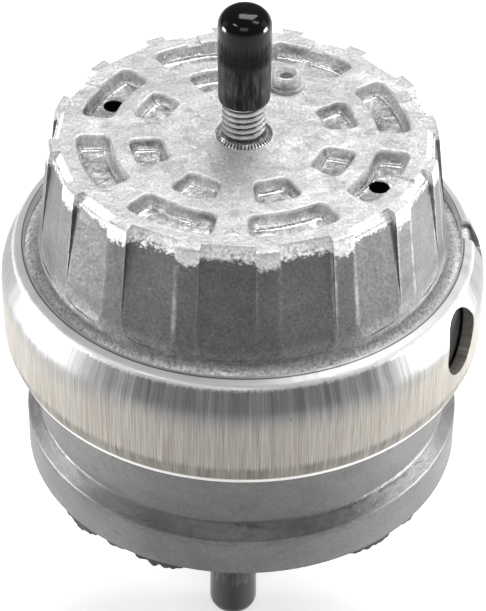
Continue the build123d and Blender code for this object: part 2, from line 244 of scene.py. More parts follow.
def angleRound(tree, centreX=0.0):
    # angle round an upright axis, in degrees
    coords = addNode(tree, "ShaderNodeTexCoord").outputs["Object"]
    parts = addNode(tree, "ShaderNodeSeparateXYZ", {0: coords})
    across = calc(tree, "SUBTRACT", parts.outputs["X"], centreX * millimetre)
    return product(tree, calc(tree, "ARCTAN2", parts.outputs["Y"], across), 180 / math.pi)


def roundAxis(tree, radius, size, rise):
    # the spot brought to one distance from the axis, so that streaks run straight up and over a bend
    parts = addNode(tree, "ShaderNodeSeparateXYZ", {0: place(tree)})
    scaled = calc(tree, "DIVIDE", size, radius)
    node = addNode(tree, "ShaderNodeCombineXYZ", {
        "X": product(tree, parts.outputs["X"], scaled),
        "Y": product(tree, parts.outputs["Y"], scaled),
        "Z": product(tree, parts.outputs["Z"], rise)})
    return node.outputs[0]


def bump(tree, shader, height, distance, strength):
    node = addNode(tree, "ShaderNodeBump", {"Height": height, "Distance": distance, "Strength": strength})
    tree.links.new(node.outputs["Normal"], shader.inputs["Normal"])


def wire(tree, shader, colour, roughness, metallic=None):
    # a socket is linked, a plain number is set on the shader itself
    for name, value in {"Base Color": colour, "Roughness": roughness, "Metallic": metallic}.items():
        if isinstance(value, bpy.types.NodeSocket):
            tree.links.new(value, shader.inputs[name])
        elif value is not None:
            shader.inputs[name].default_value = value


def grey(level, warm=0.0):
    return (level * (1 + 0.8 * warm), level, level * (1 - 1.3 * warm), 1)


def dress(piece, material):
    piece.data.materials.clear()
    piece.data.materials.append(material)


# Cast aluminium of the upper cover

castFinish = {
    "topTone": 0.63, "sideSkinAndShadeTone": 0.108, "sideWarmth": 0.02, "rimHighlightTone": 0.62, "flareSkinAndLightTone": 0.36,
    "lipLightTone": 0.82, "pocketTone": 0.80, "mouthHighlightTone": 0.95, "wallFootHighlightTone": 0.95, "bareTopTone": 0.9,
    "bareSideTone": 0.6, "rubbedTone": 0.55, "ventShadeTone": 0.006, "windowShadeTone": 0.012, "dirtTone": 0.08,
    "headLightTones": (0.62, 0.98), "wallShadeTones": (0.34, 0.80),
    "metallic": 0.5, "pocketMetallic": 0.8, "headDulling": 0.48, "roughness": (0.36, 0.54),
    "grainDepth": 0.00006, "grainStrength": 0.9, "waveHeight": 9.0, "roughLumps": 3.0,
    # flutes: first middle and step in degrees, half width at the top and the foot, fringe of the top's
    # painted highlight between and on ribs
    "fluteStart": 18.3, "fluteStep": 22.5, "fluteHalfWidth": (6.0, 6.6), "fluteFoot": -27.8,
    "fringe": (-2.3, -3.9),
    "pocketFeet": (-2.45, -3.0),   # level of the walls' foot in the inner and in the outer pockets
    # noises: scale, detail, roughness, distortion
    "noises": {
        "grain": (1500, 3, 0.6), "fine": (1250, 3, 0.65), "coarse": (420, 4, 0.6), "cloud": (70, 5, 0.6),
        "smudge": (190, 6, 0.68, 0.6), "bareTop": (260, 5, 0.7, 1.2), "bareSide": (950, 3, 0.6),
        "dirt": (900, 2, 0.5), "waves": (130, 3, 0.5),
    },
    "rubbedNoise": (62, 2, 0.5), "rubbedStretch": 0.2,
    # where a zone begins and where it is full, in millimetres, named by the way in which it fades in
    "zones": {
        "sideDown": (0.7, -0.7), "rimOut": (38.8, 42.2), "rimUp": (-0.9, 0.4), "edgeUp": (-27.5, -15.0),
        "headDown": (-0.05, -0.6), "headUp": (-0.9, 0.6), "headOut": (41.0, 41.8),
        "flareDown": (-23.5, -29.5), "lipDown": (-27.6, -29.8),
        "pocketDown": (-0.3, -0.7), "pocketUp": (-4.2, -3.8), "pocketIn": (40.8, 40.2),
        "outerPockets": (27.5, 28.5), "wallUp": (0.25, 0.9),
        "mouthDown": (-0.03, -0.10), "mouthUp": (-0.95, -0.50), "mouthIn": (41.2, 40.8),
        "ventDown": (-3.75, -3.95), "ventUp": (-14.0, -13.5), "ventOut": (28.0, 28.5), "ventIn": (40.0, 39.5),
        "flangeOut": (53.2, 53.7), "flangeDown": (-31.0, -31.8),
        # these two in shares of a flute's step
        "ribShare": (0.30, 0.42), "headShare": (0.44, 0.30),
    },
}


def castSpots(tree, look):
    # what the skins of the casting share: its noises, and where a spot lies
    here = place(tree)
    spot = {name: noise(tree, here, *pattern) for name, pattern in look["noises"].items()}
    spot["rubbed"] = noise(tree, place(tree, (1, 1, look["rubbedStretch"])), *look["rubbedNoise"])
    spot["height"], spot["radius"] = heightAndRadius(tree)
    # how far it lies from the middle of its flute, from 0 to 0.5 of the step
    turned = calc(tree, "SUBTRACT", angleRound(tree), look["fluteStart"])
    steps = calc(tree, "DIVIDE", turned, look["fluteStep"])
    wholeSteps = 40   # keeps the count above nought
    share = calc(tree, "SUBTRACT", calc(tree, "FRACT", calc(tree, "ADD", steps, wholeSteps + 0.5)), 0.5)
    spot["share"] = calc(tree, "ABSOLUTE", share)
    # the bright fringe of the top is a painted highlight; it is ragged, and hangs lower on the ribs than in
    # the flutes
    spot["ragged"] = wander(tree, wander(tree, spot["height"], spot["coarse"], 0.5), spot["fine"], 0.9)
    onRib = zone(tree, look, "ribShare", spot["share"], soft=True)
    fringe = spread(tree, onRib, 0, 1, *look["fringe"])
    spot["drop"] = calc(tree, "SUBTRACT", spot["ragged"], fringe)
    return spot


def castTop(tree, look, spot):
    # granular top with grey smudges and bare spots
    tone = look["topTone"]
    top = blendColours(tree, spread(tree, spot["cloud"], 0.35, 0.65), grey(tone * 0.85), grey(tone * 1.15))
    smudged = spread(tree, spot["smudge"], 0.50, 0.64, soft=True)
    spot["dull"] = product(tree, smudged, spread(tree, spot["cloud"], 0.36, 0.6, 0.35, 1.0))
    top = tint(tree, top, spot["dull"], grey(tone * 0.42), 0.62)
    return tint(tree, top, spread(tree, spot["bareTop"], 0.57, 0.63), grey(look["bareTopTone"]), 0.6)


def castSide(tree, look, spot):
    # dark side, partly cast skin and partly painted shade, with bare spots, and a painted highlight along the
    # flutes' edges
    tone, warmth = look["sideSkinAndShadeTone"], look["sideWarmth"]
    darker, lighter = grey(tone * 0.86, warmth), grey(tone * 1.16, warmth)
    side = blendColours(tree, spread(tree, spot["cloud"]), darker, lighter)
    side = tint(tree, side, spread(tree, spot["bareSide"], 0.70, 0.76), grey(look["bareSideTone"]), 0.35)
    # painted highlight: a bright line along each flute's edge
    across = product(tree, spot["share"], spot["radius"], math.radians(look["fluteStep"]))
    half = spread(tree, spot["height"], 0, look["fluteFoot"], *look["fluteHalfWidth"])
    edge = lineAt(tree, across, half, 0.95, 0.05, soft=True)
    edge = product(
        tree, edge, spread(tree, spot["rubbed"], 0.42, 0.60, 0.10, 1.0),
        spread(tree, spot["coarse"], 0.36, 0.60, 0.3, 1.0), zone(tree, look, "edgeUp", spot["height"]))
    return tint(tree, side, edge, grey(look["rubbedTone"]), 0.8)


def castRim(tree, look, spot, colour):
    # painted highlight along the rim of the top, granular and ragged, and painted light on the flutes' sloped
    # heads to make them as bright as the rim
    # painted highlight on the rim
    edgeOut = wander(tree, spot["radius"], spot["smudge"], 0.9)
    spot["rim"] = product(
        tree, zone(tree, look, "rimOut", edgeOut, soft=True),
        zone(tree, look, "rimUp", spot["drop"], soft=True),
        spread(tree, spot["smudge"], 0.36, 0.52, 0.55, 1.0))
    colour = tint(tree, colour, spot["rim"], grey(look["rimHighlightTone"]))
    # painted light on the flutes' sloped heads, against their shading
    spot["head"] = product(
        tree, zone(tree, look, "headShare", spot["share"], soft=True),
        zone(tree, look, "headDown", spot["height"]), zone(tree, look, "headUp", spot["drop"], soft=True))
    low, high = look["headLightTones"]
    headPaintedLight = blendColours(tree, spread(tree, spot["fine"], 0.36, 0.62), grey(low), grey(high))
    headLightMask = product(tree, spot["head"], zone(tree, look, "headOut", spot["radius"]))
    return tint(tree, colour, headLightMask, headPaintedLight)


def castFlare(tree, look, spot, colour):
    # brighter casting skin on the flare above the band, lifted with painted light, and painted brightest
    # where it meets the band's lip, against the lip's shadow
    # painted light on the flare, over its granular skin
    grains = spread(tree, spot["fine"], 0.40, 0.60, 0.35, 1.0)
    spot["flare"] = product(tree, zone(tree, look, "flareDown", spot["ragged"], soft=True), grains)
    colour = tint(tree, colour, spot["flare"], grey(look["flareSkinAndLightTone"]))
    # painted light on the ring beside the band's lip, where the lip casts its shadow
    grains = spread(tree, spot["fine"], 0.36, 0.56, 0.45, 1.0)
    lip = product(tree, zone(tree, look, "lipDown", spot["ragged"], soft=True), grains)
    return tint(tree, colour, lip, grey(look["lipLightTone"]))


def castPockets(tree, look, spot, colour):
    # painted shade on the walls under the mouth, a painted highlight along the foot, and a painted highlight
    # round the mouth
    height, radius = spot["height"], spot["radius"]
    spot["inPocket"] = product(
        tree, zone(tree, look, "pocketDown", height), zone(tree, look, "pocketIn", radius),
        zone(tree, look, "pocketUp", height))
    tone = look["pocketTone"]
    pocket = blendColours(tree, spread(tree, spot["smudge"], 0.42, 0.6), grey(tone), grey(tone * 0.5))
    foot = spread(tree, radius, *look["zones"]["outerPockets"], *look["pocketFeet"])
    overFoot = calc(tree, "SUBTRACT", wander(tree, height, spot["coarse"], 0.25), foot)
    # painted shade on the walls above the foot
    low, high = look["wallShadeTones"]
    wall = blendColours(tree, spread(tree, spot["cloud"], 0.35, 0.62), grey(low), grey(high))
    pocket = tint(tree, pocket, zone(tree, look, "wallUp", overFoot, soft=True), wall)
    # painted highlight along the walls' foot
    bevel = lineAt(tree, overFoot, 0, 0.34, 0.12)
    bevel = product(tree, bevel, spread(tree, spot["cloud"], 0.40, 0.55, 0.25, 1.0))
    pocket = tint(tree, pocket, bevel, grey(look["wallFootHighlightTone"]))
    colour = tint(tree, colour, spot["inPocket"], pocket)
    # the vents go down through two of them, and their walls are painted dark as shade
    ventShade = product(
        tree, zone(tree, look, "ventDown", height), zone(tree, look, "ventUp", height),
        zone(tree, look, "ventOut", radius), zone(tree, look, "ventIn", radius))
    colour = tint(tree, colour, ventShade, grey(look["ventShadeTone"]))
    # painted highlight round each pocket's mouth
    mouth = product(
        tree, zone(tree, look, "mouthDown", height), zone(tree, look, "mouthUp", height),
        zone(tree, look, "mouthIn", radius), spread(tree, spot["smudge"], 0.40, 0.55, 0.6, 1.0))
    return tint(tree, colour, mouth, grey(look["mouthHighlightTone"]))


def castAluminium():
    look = castFinish
    material, tree, shader = newMaterial("cast aluminium")
    spot = castSpots(tree, look)
    below = zone(tree, look, "sideDown", spot["drop"], soft=True)
    colour = blendColours(tree, below, castTop(tree, look, spot), castSide(tree, look, spot))
    for skin in (castRim, castFlare, castPockets):
        colour = skin(tree, look, spot, colour)
    # painted shade on the flange's edge inside the band
    flangeOut = zone(tree, look, "flangeOut", spot["radius"])
    flangeShade = product(tree, flangeOut, zone(tree, look, "flangeDown", spot["height"]))
    colour = tint(tree, colour, flangeShade, grey(look["windowShadeTone"]))
    colour = blendColours(tree, 1.0, colour, spread(tree, spot["grain"], 0.28, 0.72, 0.66, 1.34), "MULTIPLY")
    colour = tint(tree, colour, spread(tree, spot["dirt"], 0.70, 0.76), grey(look["dirtTone"]), 0.5)
    metal = spread(tree, spot["inPocket"], 0, 1, look["metallic"], look["pocketMetallic"])
    metal = calc(tree, "SUBTRACT", metal, product(tree, spot["head"], look["headDulling"]))
    rough = spread(tree, spot["coarse"], 0.3, 0.7, *look["roughness"])
    rough = calc(tree, "ADD", rough, product(tree, spot["inPocket"], -0.20))
    rough = calc(tree, "ADD", rough, product(tree, spot["dull"], 0.1))
    wire(tree, shader, colour, rough, metal)
    # the relief is coarser on the flare and the rim, with slow waves all over
    lumpy = product(tree, spot["coarse"], spread(tree, spot["flare"], 0, 1, 1.0, look["roughLumps"]))
    relief = calc(tree, "ADD", spot["grain"], lumpy)
    relief = calc(tree, "ADD", relief, product(tree, spot["coarse"], spot["rim"], look["roughLumps"]))
    relief = calc(tree, "ADD", relief, product(tree, spot["waves"], look["waveHeight"]))
    bump(tree, shader, relief, look["grainDepth"], look["grainStrength"])
    return material


# Drawn steel of the crimp ring

bandFinish = {
    "lipLightTone": 0.72, "upperShadeTone": 0.225, "lowerTone": 0.315, "warmth": 0.105, "rolledTone": 0.34,
    "rollShadowTone": 0.03, "stainTone": 0.10, "stainWarmth": 0.12, "footHighlightTone": 0.92, "footHighlightWarmth": 0.02,
    "nickTone": 0.03, "boreShadeTone": 0.05, "metallic": 0.6, "roughness": (0.34, 0.52),
    "reliefDepth": 0.000018, "reliefStrength": 0.8,
    # streaks are drawn at this distance from the axis, and hardly change going up
    "streakRadius": 56.5, "streakRise": 0.015, "broadRise": 0.05, "rollLine": 51.85,
    "noises": {
        "streaks": (4200, 3, 0.7), "broad": (500, 3, 0.6), "cloud": (55, 4, 0.55), "fine": (1500, 3, 0.6),
        "nicks": (340, 2, 0.5),
    },
    "zones": {
        "lowerDown": (-35.5, -42.5), "lipUp": (-31.2, -30.2), "rolledIn": (51.75, 51.55),
        "stainDown": (-50.6, -52.4), "stainUp": (-56.0, -55.0), "footDown": (-55.2, -56.0),
        "boreIn": (54.6, 54.35), "boreDown": (-31.5, -31.7),
    },
}


def bandSteel():
    look = bandFinish
    patterns = look["noises"]
    material, tree, shader = newMaterial("band steel")
    here = place(tree)
    height, radius = heightAndRadius(tree)
    size = look["streakRadius"]
    streaks = noise(tree, roundAxis(tree, radius, size, look["streakRise"]), *patterns["streaks"])
    broad = noise(tree, roundAxis(tree, radius, size, look["broadRise"]), *patterns["broad"])
    wavy = wander(tree, height, noise(tree, here, *patterns["cloud"]), 1.0)
    tone, warmth = look["lowerTone"], look["warmth"]
    darker, lighter = grey(tone * 0.88, warmth), grey(tone * 1.15, warmth * 0.7)
    lower = blendColours(tree, spread(tree, broad), darker, lighter)
    # the upper band is painted darker, as the dark reflection in the bend
    tone = look["upperShadeTone"]
    upper = blendColours(tree, spread(tree, broad), grey(tone * 0.85), grey(tone * 1.35))
    colour = blendColours(tree, zone(tree, look, "lowerDown", wavy, soft=True), upper, lower)
    # painted highlight on the lip's bend
    lipHeight = wander(tree, height, noise(tree, here, *patterns["fine"]), 0.3)
    lip = zone(tree, look, "lipUp", lipHeight, soft=True)
    colour = tint(tree, colour, lip, grey(look["lipLightTone"]))
    # the lip's inner edge is rolled dull, with a painted shadow line in the roll
    rolled = product(tree, zone(tree, look, "rolledIn", radius), lip)
    colour = tint(tree, colour, rolled, grey(look["rolledTone"]), 0.7)
    rollLine = product(tree, lineAt(tree, radius, look["rollLine"], 0.24, 0.10), lip)
    colour = tint(tree, colour, rollLine, grey(look["rollShadowTone"]), 0.85)
    # brown stain in the bend above the rolled foot
    ragged = wander(tree, height, streaks, 0.8, 0.25, 0.75)
    stain = product(
        tree, zone(tree, look, "stainDown", ragged, soft=True),
        zone(tree, look, "stainUp", ragged, soft=True), spread(tree, broad, 0.35, 0.6, 0.25, 0.75))
    colour = tint(tree, colour, stain, grey(look["stainTone"], look["stainWarmth"]))
    # painted highlight on the rolled foot
    foot = zone(tree, look, "footDown", height, soft=True)
    colour = tint(tree, colour, foot, grey(look["footHighlightTone"], look["footHighlightWarmth"]))
    # the painted highlights on the lip and the foot carry no streaks
    scratches = spread(tree, streaks, 0.3, 0.7, 0.62, 1.38)
    scratches = blendColours(tree, calc(tree, "MAXIMUM", lip, foot), scratches, white)
    colour = blendColours(tree, 1.0, colour, scratches, "MULTIPLY")
    nicks = spread(tree, noise(tree, here, *patterns["nicks"]), 0.765, 0.785)
    colour = tint(tree, colour, nicks, grey(look["nickTone"]))
    # the cut walls of the window and the notch, and the bore, are painted dark as shade
    inside = product(tree, zone(tree, look, "boreIn", radius), zone(tree, look, "boreDown", height))
    colour = tint(tree, colour, inside, grey(look["boreShadeTone"]))
    wire(tree, shader, colour, spread(tree, broad, 0.3, 0.7, *look["roughness"]), look["metallic"])
    relief = calc(tree, "ADD", streaks, product(tree, broad, 0.5))
    bump(tree, shader, relief, look["reliefDepth"], look["reliefStrength"])
    return material


# Dull steel of the lower cup

cupFinish = {
    "tone": 0.15, "shoulderTone": 0.07, "creaseTone": 0.05, "lineTone": 0.06,
    "metallic": 0.55, "roughness": (0.40, 0.52), "reliefDepth": 0.00004, "reliefStrength": 0.6,
    "crease": -75.2, "cloudStretch": 1.6, "smearStretch": 3.5, "wrinkleTurn": (0.5, 0.3, 0),
    "noises": {
        "grain": (1300, 3, 0.6), "cloud": (45, 5, 0.62), "smear": (160, 5, 0.7, 1.5),
        "wrinkles": (90, 3, 0.6, 2.5),
    },
    "zones": {"shoulderUp": (-80.4, -78.9), "shoulderDown": (-75.2, -76.6)},
}


def cupSteel():
    look = cupFinish
    patterns = look["noises"]
    material, tree, shader = newMaterial("cup steel")
    height = heightAndRadius(tree)[0]
    grain = noise(tree, place(tree), *patterns["grain"])
    cloud = noise(tree, place(tree, (1, 1, look["cloudStretch"])), *patterns["cloud"])
    smear = noise(tree, place(tree, (1, 1, look["smearStretch"])), *patterns["smear"])
    tone = look["tone"]
    darker, lighter = grey(tone * 0.8, 0.01), grey(tone * 1.3, 0.015)
    colour = blendColours(tree, spread(tree, cloud, 0.32, 0.68), darker, lighter)
    wavy = wander(tree, height, smear, 1.2)
    shoulder = product(
        tree, zone(tree, look, "shoulderUp", wavy, soft=True),
        zone(tree, look, "shoulderDown", wavy, soft=True), spread(tree, smear, 0.42, 0.6))
    colour = tint(tree, colour, shoulder, grey(look["shoulderTone"]), 0.5)
    # a dark crease runs along the top of the shoulder
    crease = lineAt(tree, wavy, look["crease"], 0.8, 0.25)
    crease = product(tree, crease, spread(tree, smear, 0.40, 0.54), spread(tree, cloud, 0.42, 0.56))
    colour = tint(tree, colour, crease, grey(look["creaseTone"]), 0.75)
    wrinkles = noise(tree, place(tree, turn=look["wrinkleTurn"]), *patterns["wrinkles"])
    lines = product(tree, lineAt(tree, wrinkles, 0.5, 0.012, 0.0), spread(tree, cloud, 0.5, 0.6))
    colour = tint(tree, colour, lines, grey(look["lineTone"]), 0.6)
    colour = blendColours(tree, 1.0, colour, spread(tree, grain, 0.3, 0.7, 0.88, 1.12), "MULTIPLY")
    wire(tree, shader, colour, spread(tree, cloud, 0.3, 0.7, *look["roughness"]), look["metallic"])
    relief = calc(tree, "ADD", product(tree, grain, 0.6), product(tree, lines, -1.5))
    bump(tree, shader, relief, look["reliefDepth"], look["reliefStrength"])
    return material


# Rubber, turned and stamped metal, and the channel's plastic

rubberFinish = {
    "springTone": 0.02, "sealTone": 0.015, "diaphragmTone": 0.025, "bloom": 2.2, "reliefDepth": 0.00004,
}


def rubber(name, tone):
    look = rubberFinish
    material, tree, shader = newMaterial(name)
    bloom = noise(tree, place(tree), 160, 4, 0.6)
    colour = blendColours(tree, spread(tree, bloom, 0.35, 0.7), grey(tone), grey(tone * look["bloom"]))
    wire(tree, shader, colour, spread(tree, bloom, 0.3, 0.7, 0.55, 0.75))
    bump(tree, shader, noise(tree, place(tree), 1100, 3), look["reliefDepth"], 0.6)
    return material


turnedFinish = {
    "coreTone": 0.36, "coreMetallic": 0.7, "plateTone": 0.5, "rivetTone": 0.55, "spacerShadeTone": 0.12,
    "pinTone": 0.6, "windowShadeTone": 0.006, "metallic": 0.9, "roughness": (0.28, 0.42), "reliefDepth": 0.00001,
    "zones": {"windowShadeOut": (53.0, 53.6)},
}


def turnedMetal(name, tone, metallic=turnedFinish["metallic"]):
    # fine lathe rings round the axis
    look = turnedFinish
    material, tree, shader = newMaterial(name)
    height, radius = heightAndRadius(tree)
    rings = noise(tree, addNode(tree, "ShaderNodeCombineXYZ", {0: radius, 1: height}).outputs[0], 7, 2, 0.6)
    stains = noise(tree, place(tree), 120, 4, 0.6)
    colour = blendColours(tree, spread(tree, stains), grey(tone * 0.85), grey(tone * 1.1))
    # painted shade on the edge that faces the band's window
    colour = tint(tree, colour, zone(tree, look, "windowShadeOut", radius), grey(look["windowShadeTone"]))
    wire(tree, shader, colour, spread(tree, rings, 0.3, 0.7, *look["roughness"]), metallic)
    bump(tree, shader, rings, look["reliefDepth"], 0.6)
    return material


channelFinish = {"tones": (0.003, 0.008), "specular": 0.15, "roughness": (0.5, 0.65), "reliefDepth": 0.00002}


def channelPlastic():
    look = channelFinish
    material, tree, shader = newMaterial("channel plastic")
    fibres = noise(tree, place(tree, (1, 0.3, 1)), 900, 4, 0.7)
    low, high = look["tones"]
    colour = blendColours(tree, spread(tree, fibres, 0.4, 0.7), grey(low), grey(high))
    wire(tree, shader, colour, spread(tree, noise(tree, place(tree), 200), 0.3, 0.7, *look["roughness"]))
    shader.inputs["Specular IOR Level"].default_value = look["specular"]
    bump(tree, shader, fibres, look["reliefDepth"], 0.5)
    return material


springRubber = rubber("black rubber", rubberFinish["springTone"])
diaphragmRubber = rubber("diaphragm rubber", rubberFinish["diaphragmTone"])
plateSteel = turnedMetal("stamped plate", turnedFinish["plateTone"])
finishes = {
    "upper_cover": castAluminium(),
    "crimp_ring": bandSteel(),
    "lower_cup": cupSteel(),
    "channel_body": channelPlastic(),
    "main_spring": springRubber,
    "bump_stop": springRubber,
    "inner_core": turnedMetal("turned aluminium", turnedFinish["coreTone"], turnedFinish["coreMetallic"]),
    "upper_grid_plate": plateSteel,
    "lower_grid_plate": plateSteel,
    "plate_rivets": turnedMetal("rivet steel", turnedFinish["rivetTone"]),
    "flange_seal": rubber("seal rubber", rubberFinish["sealTone"]),
    "diaphragm": diaphragmRubber,
    "decoupler_membrane": diaphragmRubber,
    # the spacer ring is toned dark as painted shade inside the band's window
    "diaphragm_ring": turnedMetal("spacer steel", turnedFinish["spacerShadeTone"]),
    "lower_locating_pin": turnedMetal("pin steel", turnedFinish["pinTone"]),
}
for nodeName, finish in finishes.items():
    dress(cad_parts[nodeName], finish)
print("finishes put on the solids")
clearSelection()   # the solids come in selected


# Threaded studs with their knurled shanks

studLook = {
    "threadRadius": 4.98, "rootRadius": 4.25, "pitch": 1.5, "crest": 0.62, "base": 1.30, "sunk": 0.25,
    "threadLow": 0.9, "threadHigh": 30.6, "stepsPerTurn": 40, "top": 32.0, "tipRadius": 3.6, "tipHeight": 0.9,
    "coreSides": 48, "coreFoot": -0.5, "knurlTeeth": 46, "toothHeight": 0.17,
    "knurlInner": 5.4, "knurlLow": -0.6, "knurlHigh": 0.5,
    # bevelled end of the shank, which stands in the seat's round recess: radius and height
    "collar": [(4.4, -1.2), (4.7, -0.5), (5.0, 0.35), (5.35, 0.5), (5.7, 0.2), (6.05, -0.12)],
    "shankRadius": 6.35, "shankTop": -0.5, "headRadius": 9.0, "headThickness": 3.5, "headBevel": 0.3,
    # zinc: its tones and where it shows, measured from the seat
    "zincTones": (0.70, 0.86), "rootTone": 0.12, "gapTone": 0.02, "metallic": 0.85, "roughness": (0.2, 0.34),
    "reliefDepth": 0.000004,
    "zones": {
        "rootIn": (4.72, 4.45), "threadUp": (-0.2, 0.4), "knurlOut": (5.3, 5.6), "knurlDown": (0.75, 0.4),
    },
}


def brightZinc(name, centreX, seat, upward, look):
    # bright crests, darker in the thread's root and between the knurl's teeth
    material, tree, shader = newMaterial(name)
    height, radius = heightAndRadius(tree, centreX)
    above = product(tree, calc(tree, "SUBTRACT", height, seat), upward)
    patches = noise(tree, place(tree), 500, 3, 0.6)
    low, high = look["zincTones"]
    colour = blendColours(tree, spread(tree, patches), grey(low), grey(high))
    root = product(tree, zone(tree, look, "rootIn", radius), zone(tree, look, "threadUp", above))
    colour = tint(tree, colour, root, grey(look["rootTone"]), 0.8)
    teeth = calc(tree, "SINE", product(tree, angleRound(tree, centreX), math.radians(look["knurlTeeth"])))
    gaps = product(
        tree, spread(tree, teeth, 0.0, -0.5), zone(tree, look, "knurlOut", radius),
        zone(tree, look, "knurlDown", above))
    colour = tint(tree, colour, gaps, grey(look["gapTone"]))
    wire(tree, shader, colour, spread(tree, patches, 0.3, 0.7, *look["roughness"]), look["metallic"])
    bump(tree, shader, noise(tree, place(tree), 1500, 2), look["reliefDepth"], 0.5)
    return material


def threadRidge(look):
    # the ridge's section drawn as a four-sided ring, then wound up the stud
    middle = (look["threadRadius"] + look["rootRadius"]) / 2
    bpy.ops.mesh.primitive_circle_add(
        vertices=4, radius=millimetre, location=(middle * millimetre, 0, look["threadLow"] * millimetre),
        rotation=(math.pi / 2, 0, math.pi / 4))
    ridge = startPiece("ridge")
    inner, outer = look["rootRadius"] - look["sunk"], look["threadRadius"]
    halfBase, halfCrest = look["base"] / 2, look["crest"] / 2
    corners = [(inner, -halfBase), (outer, -halfCrest), (outer, halfCrest), (inner, halfBase)]
    for vertex, (radius, rise) in zip(ridge.data.vertices, corners):
        vertex.co = (radius * millimetre, 0, (look["threadLow"] + rise) * millimetre)
    screw = ridge.modifiers.new("wind", "SCREW")
    screw.axis = "Z"
    screw.angle = 2 * math.pi
    screw.screw_offset = look["pitch"] * millimetre
    screw.iterations = int((look["threadHigh"] - look["threadLow"]) / look["pitch"])
    screw.steps = look["stepsPerTurn"]
    screw.render_steps = look["stepsPerTurn"]
    screw.use_smooth_shade = True
    screw.use_merge_vertices = True
    applyAll(ridge)
    # both ends of the ridge are closed
    bpy.ops.object.mode_set(mode="EDIT")
    bpy.ops.mesh.select_mode(type="VERT")
    bpy.ops.mesh.select_all(action="DESELECT")
    bpy.ops.mesh.select_non_manifold()
    bpy.ops.mesh.edge_face_add()
    bpy.ops.object.mode_set(mode="OBJECT")
    tidyMesh(ridge)
    return ridge


def knurledShank(shankLength, look):
    outer, head, bevel = look["shankRadius"], look["headRadius"], look["headBevel"]
    headTop = -shankLength
    headFoot = headTop - look["headThickness"]
    shank = turnedPiece("shank", look["collar"] + [
        (outer, look["shankTop"]), (outer, headTop), (head - bevel, headTop), (head, headTop - bevel),
        (head, headFoot + bevel), (head - bevel, headFoot), (0.5, headFoot),
    ], look["knurlTeeth"])

    def onKnurl(centre):
        away, height = math.hypot(centre.x, centre.y) / millimetre, centre.z / millimetre
        return look["knurlInner"] < away < outer and look["knurlLow"] < height < look["knurlHigh"]
    tidyMesh(shank)
    makeActive(shank)
    bpy.ops.object.mode_set(mode="EDIT")
    bpy.ops.mesh.select_mode(type="FACE")
    pickFaces(shank, onKnurl)
    bpy.ops.mesh.poke(offset=look["toothHeight"] * millimetre)
    bpy.ops.object.mode_set(mode="OBJECT")
    smoothPiece(shank, 12)
    return shank


def threadedStud(name, shankLength, look):
    top, root, outer = look["top"], look["rootRadius"], look["shankRadius"]
    foot = look["coreFoot"]
    core = turnedPiece(name, [
        (0.4, top), (look["tipRadius"], top), (root, top - look["tipHeight"]), (root, foot),
        (outer - 1.5, foot - 0.4), (outer - 1.0, foot - 0.4),
    ], look["coreSides"])
    shank = knurledShank(shankLength, look)
    tidyMesh(core)
    smoothPiece(core, 30)
    ridge = threadRidge(look)
    smoothPiece(ridge, 30)
    return joinPieces(core, shank, ridge)


def standBelow(piece, level, offset):
    # turned upside down onto the lower seat
    moved = Matrix.Translation((offset * millimetre, 0, level * millimetre))
    piece.matrix_world = moved @ Matrix.Rotation(math.pi, 4, "X")
    makeActive(piece)
    bpy.ops.object.transform_apply(location=True, rotation=True, scale=True)


studPlace = {"upperShank": 16.0, "lowerShank": 50.7, "lowerSeat": -119.0, "lowerOffset": -1.75}
upperStud = threadedStud("upperStudThreaded", studPlace["upperShank"], studLook)
dress(upperStud, brightZinc("upper stud zinc", 0.0, 0.0, 1.0, studLook))
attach(upperStud, "housing")
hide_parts("upper_stud")
lowerStud = threadedStud("lowerStudThreaded", studPlace["lowerShank"], studLook)
standBelow(lowerStud, studPlace["lowerSeat"], studPlace["lowerOffset"])
lowerZinc = brightZinc("lower stud zinc", studPlace["lowerOffset"], studPlace["lowerSeat"], -1.0, studLook)
dress(lowerStud, lowerZinc)
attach(lowerStud, "core")
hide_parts("lower_stud")
print("studs threaded")


# Push-on caps

capLook = {
    "boreRadius": 5.02, "rimLevel": 9.8, "ceiling": 31.9, "top": 33.58, "radius": 6.1, "rimRadius": 5.93,
    "gripTaper": 0.1, "gripRings": 5, "domeRadius": 4.3, "domeRings": 13, "domeFlattening": 0.965,
    "ribs": 24, "sidesPerRib": 3, "ribDepth": 0.012, "ribInner": 5.6, "ribLow": 11.2, "ribHigh": 20.5,
    "tone": 0.004, "lowerTone": 0.05, "scuffAndSheenLift": 0.07, "scuffAndSheenWarmth": 0.03, "specular": 0.24,
    "roughness": (0.07, 0.12), "gripRoughness": 0.3, "rubStretch": 0.15, "reliefDepth": 0.00003,
    # height where the glossy end stops, and height where the scuffed grip, with its painted sheen, is full
    "upperGrip": (22.5, 19.5), "lowerGrip": (-141.5, -138.5),
}


def capPlastic(name, grip, tone, look):
    # glossy at the closed end, scuffed where the fingers push it on, with painted sheen in streaks on the
    # grip
    material, tree, shader = newMaterial(name)
    height = heightAndRadius(tree)[0]
    rubs = noise(tree, place(tree, (1, 1, look["rubStretch"])), 1300, 3, 0.65)
    gripped = spread(tree, wander(tree, height, rubs, 0.8), *grip, soft=True)
    # scuffs and painted sheen: lighter streaks on the grip
    scuffsAndSheen = product(tree, spread(tree, rubs, 0.45, 0.7), gripped)
    colour = blendColours(tree, scuffsAndSheen, grey(tone), grey(tone + look["scuffAndSheenLift"], look["scuffAndSheenWarmth"]))
    rough = spread(tree, rubs, 0.3, 0.7, *look["roughness"])
    rough = calc(tree, "ADD", rough, product(tree, gripped, look["gripRoughness"]))
    wire(tree, shader, colour, rough)
    shader.inputs["Specular IOR Level"].default_value = look["specular"]
    bump(tree, shader, product(tree, rubs, gripped), look["reliefDepth"], 0.6)
    return material


